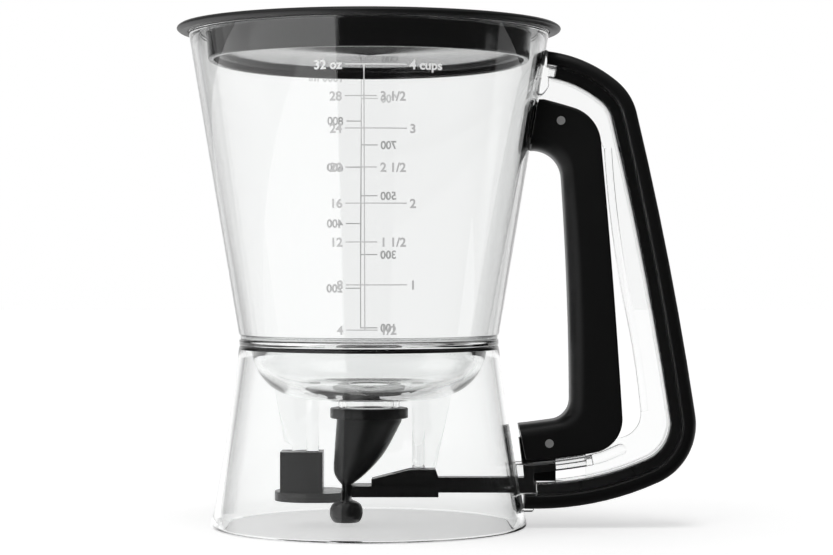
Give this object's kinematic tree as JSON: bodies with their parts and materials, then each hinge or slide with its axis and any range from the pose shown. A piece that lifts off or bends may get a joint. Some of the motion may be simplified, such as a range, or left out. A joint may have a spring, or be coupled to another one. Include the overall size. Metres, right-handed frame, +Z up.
{
  "type": "batter dispenser",
  "caption": "Clear funnel-bottomed batter dispenser with a push-in lid and a squeeze trigger that opens a pinched nozzle.",
  "frame": {"origin": "the reservoir's axis at the plane of the skirt's foot, where it stands on the table", "axes": "+Z up along the reservoir's axis, +X towards the handle, -Y towards the viewer of the picture"},
  "size_m": [0.1906, 0.1412, 0.184],
  "materials": {
    "clear_plastic": "clear polished",
    "seal_silicone": "translucent satin",
    "black_gloss": "polished",
    "black_plastic": "fine satin",
    "soft_grip": "soft-touch matt",
    "boot_silicone": "satin",
    "steel": "bright"
  },
  "bodies": {
    "root": {"base_skirt": "clear_plastic", "reservoir_wall": "clear_plastic", "bowl_seal": "seal_silicone", "funnel_bowl": "clear_plastic", "valve_post_left": "clear_plastic", "valve_post_right": "clear_plastic", "nozzle_retaining_ring": "black_plastic", "nozzle_boot": "boot_silicone", "anvil_bracket": "black_plastic", "handle_frame": "clear_plastic", "handle_grip_insert": "black_plastic", "handle_grip_cover": "soft_grip", "trigger_pivot_pin": "steel", "return_spring": "steel"},
    "lid": {"lid_plug": "black_gloss", "lid_rim": "soft_grip"},
    "trigger": {"trigger_core": "black_plastic", "trigger_grip_cover": "soft_grip", "link_pin": "steel"},
    "slider": {"jaw_slider": "black_plastic"}
  },
  "joints": [
    {"name": "lid_lift", "type": "slide", "parent": "root", "child": "lid", "axis": [0, 0, 1], "range_m": [0, 0.06]},
    {"name": "trigger_squeeze", "type": "hinge", "parent": "root", "child": "trigger", "pos_m": [0.0702, 0, 0.1488], "axis": [0, -1, 0], "range_deg": [0, 3.4], "stiffness_Nm_per_rad": 1.5, "springref_deg": -14.32},
    {"name": "jaw_slide", "type": "slide", "parent": "root", "child": "slider", "axis": [1, 0, 0], "range_m": [0, 0.0071]}
  ],
  "couplings": [
    {"joint": "jaw_slide", "follows": "trigger_squeeze", "m_per_rad": 0.1179}
  ]
}
